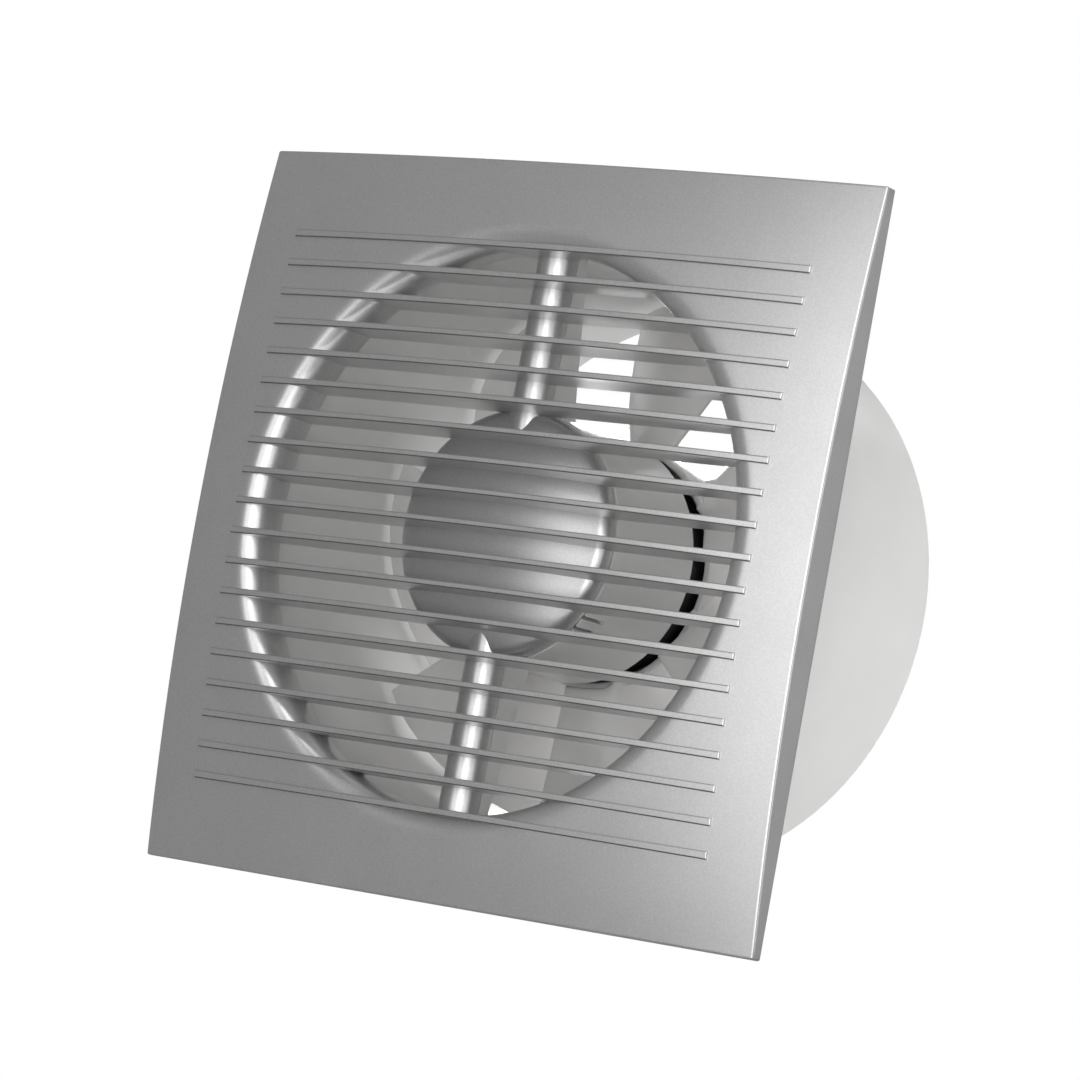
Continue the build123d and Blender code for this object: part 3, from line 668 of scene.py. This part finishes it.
def blade(turn, s_steps=24, r_steps=16):
    """One blade with rounded edges and a widened foot, turned into its place."""
    crowded = 2 * len(ROUNDING) - 1
    rows = []
    for j in range(crowded + r_steps):
        u, from_end = blade_station(j, r_steps, 0.022)
        top, bottom = [], []
        for i in range(crowded + s_steps):
            s, from_edge = blade_station(i, s_steps, 0.018)
            y_here = LEAD_Y + (TRAIL_Y - LEAD_Y) * s * s
            join = min(1.0, max(0.0, (y_here - HUB_FRONT + 0.5) / 0.7))
            root = FREE_ROOT * (1 - join) + SUNK_ROOT * join
            r = root + (TIP - root) * u
            if u > 0.5 or join < 0.5:
                from_edge = min(from_edge, from_end)
            edge_part = min(1.0, from_edge / HALF_THICK)
            h = HALF_THICK * (1 - THINNER * u) * math.sqrt(max(0.0, 1 - (1 - edge_part) ** 2))
            p = blade_place(r, s)
            off_hub = r - hub_radius(p[1])
            if join > 0.99 and off_hub < BLEND_R and edge_part > 0.5:
                part = 1 - max(0.0, off_hub) / BLEND_R
                h += BLEND_FOOT * (1 - math.sqrt(max(0.0, 1 - part * part)))
            normal = blade_normal(r, s)
            top.append(p + normal * h)
            bottom.append(p - normal * h)
        rows.append(top + bottom[-2:0:-1])
    c, s_turn = math.cos(turn), math.sin(turn)
    verts = [(c * x + s_turn * z, y, -s_turn * x + c * z) for row in rows for x, y, z in row]
    n = len(rows[0])
    faces = loop_faces(len(rows), n, wrap_cols=True)
    faces += [(k, k + 1, (n - k - 1) % n, (n - k) % n) for k in range(n // 2)]
    return verts, faces


hub = rounded([(24.5, HUB_FRONT), (HUB_R_FRONT, HUB_FRONT), (HUB_R_END, HUB_END),
               (BOSS_R, HUB_END), (BOSS_R, BOSS_END), (SHAFT_HOLE, BOSS_END),
               (SHAFT_HOLE, BOSS_FRONT), (BOSS_R, BOSS_FRONT), (BOSS_R, HUB_FLOOR),
               (23.55, HUB_FLOOR)],
              [0.35, 0.5, 1.3, 0.7, 0.5, 0.25, 0.25, 0.5, 0.8, 0.9])
verts, faces = turned(hub)
piece("impeller_hub", verts, faces, "rotor", blade_white, ("impeller",), sharp=40)
for k in range(BLADES):
    verts, faces = blade(2 * math.pi * k / BLADES)
    piece("impeller_blade_%d" % (k + 1), verts, faces, "rotor", blade_white, sharp=50)

# ------------------------------------------------------------------ camera, light, floor
CAMERA_PLACE = (0.53780, -0.74461, -0.08296)                      # metres
CAMERA_TURN, CAMERA_LIFT, CAMERA_ROLL = 35.4705, 5.1747, 10.3094   # degrees
CAMERA_LENS = 153.83


def camera_axes():
    """The camera's right, up and forward directions."""
    turn, lift, roll = (math.radians(a) for a in (CAMERA_TURN, CAMERA_LIFT, CAMERA_ROLL))
    forward = Vector((-math.sin(turn) * math.cos(lift), math.cos(turn) * math.cos(lift),
                      math.sin(lift)))
    level = forward.cross(Vector((0, 0, 1))).normalized()
    up = level.cross(forward).normalized()
    right = level * math.cos(roll) + up * math.sin(roll)
    top = up * math.cos(roll) - level * math.sin(roll)
    return right, top, forward


scene = bpy.context.scene
cam_data = bpy.data.cameras.new("camera")
cam_data.sensor_width = 36.0
cam_data.lens = CAMERA_LENS
cam_data.clip_start, cam_data.clip_end = 0.02, 60.0
cam = bpy.data.objects.new("camera", cam_data)
scene.collection.objects.link(cam)
scene.camera = cam
right, top, forward = camera_axes()
axes = Matrix((right, top, -forward)).transposed().to_4x4()
cam.matrix_world = Matrix.Translation(CAMERA_PLACE) @ axes

scene.view_settings.view_transform = "Standard"
scene.view_settings.look = "None"

LAMP_DISTANCE = 1.6                   # metres
world = bpy.data.worlds.new("studio")
scene.world = world
world.use_nodes = True
background = world.node_tree.nodes["Background"]
background.inputs["Color"].default_value = (1, 1, 1, 1)
background.inputs["Strength"].default_value = 0.15


def area_light(name, azimuth, elevation, width, height, power):
    """A lamp aimed at the fan. Azimuth 0 is straight in front, plus is to the right."""
    data = bpy.data.lights.new(name, "AREA")
    data.shape = "RECTANGLE"
    data.size = width
    data.size_y = height
    data.energy = power
    lamp = bpy.data.objects.new(name, data)
    scene.collection.objects.link(lamp)
    a, e = math.radians(azimuth), math.radians(elevation)
    place = Vector((math.sin(a) * math.cos(e), -math.cos(a) * math.cos(e), math.sin(e)))
    place *= LAMP_DISTANCE
    lamp.location = place
    lamp.rotation_euler = (-place).to_track_quat("-Z", "Y").to_euler()
    lamp.visible_camera = False


# a tall key a little left of the camera and a narrower one near the fan's axis, weaker lamps at the
# side and above, and lamps behind that light the duct
for name, azimuth, elevation, width, height, power in (
        ("key", 26, 5, 0.9, 1.5, 13.6), ("front_left", -7, 6, 0.5, 1.5, 4.0),
        ("side", 57, 8, 0.6, 1.2, 4.0), ("key_high", 22, 50, 1.0, 0.6, 5.0),
        ("above", 0, 80, 0.8, 0.8, 4.0), ("far_side", 120, 5, 0.6, 0.6, 3.4),
        ("behind_low", -150, 10, 0.6, 0.6, 15.0), ("behind_high", 180, 45, 0.6, 0.6, 2.5)):
    area_light(name, azimuth, elevation, width, height, power)


def stage_material(name, near, far):
    """White that is plain paint up to the near distance and glows by itself from the far one on."""
    m = bpy.data.materials.new(name)
    m.use_nodes = True
    nt = m.node_tree
    shader = nt.nodes["Principled BSDF"]
    shader.inputs["Base Color"].default_value = (0.93, 0.93, 0.93, 1)
    shader.inputs["Roughness"].default_value = 0.8
    shader.inputs["Specular IOR Level"].default_value = 0.1
    glow = nt.nodes.new("ShaderNodeEmission")
    glow.inputs["Strength"].default_value = 1.0
    coords = nt.nodes.new("ShaderNodeTexCoord")
    length = nt.nodes.new("ShaderNodeVectorMath")
    length.operation = "LENGTH"
    nt.links.new(coords.outputs["Object"], length.inputs[0])
    spread = nt.nodes.new("ShaderNodeMapRange")
    spread.interpolation_type = "SMOOTHSTEP"
    spread.inputs["From Min"].default_value = near
    spread.inputs["From Max"].default_value = far
    nt.links.new(length.outputs["Value"], spread.inputs["Value"])
    mix = nt.nodes.new("ShaderNodeMixShader")
    nt.links.new(spread.outputs["Result"], mix.inputs[0])
    nt.links.new(shader.outputs[0], mix.inputs[1])
    nt.links.new(glow.outputs[0], mix.inputs[2])
    nt.links.new(mix.outputs[0], nt.nodes["Material Output"].inputs["Surface"])
    return m


def stage_piece(name, verts, faces, material):
    """A mesh of the surroundings, in metres, which isn't part of the fan."""
    mesh = bpy.data.meshes.new(name)
    mesh.from_pydata(verts, [], faces)
    mesh.materials.append(material)
    obj = bpy.data.objects.new(name, mesh)
    scene.collection.objects.link(obj)
    return obj


FLOOR_Z, FLOOR_R, ROOM = -0.32, 2.6, 9.0   # metres
ring = [(FLOOR_R * math.cos(a), FLOOR_R * math.sin(a), FLOOR_Z)
        for a in (math.radians(2 * k) for k in range(180))]
floor = stage_piece("floor", ring, [tuple(range(180))], stage_material("floor_white", 0.5, 2.4))
floor.visible_glossy = False
floor.visible_shadow = False
half_round = [(ROOM * math.sin(a), ROOM * math.cos(a))
              for a in (math.radians(6 * k) for k in range(31))]
room_verts, room_faces = turned_cap(half_round, 60)
room = stage_piece("backdrop", room_verts, room_faces, stage_material("backdrop_white", 0.1, 0.2))
room.visible_diffuse = False
room.visible_glossy = False
room.visible_transmission = False
room.visible_shadow = False
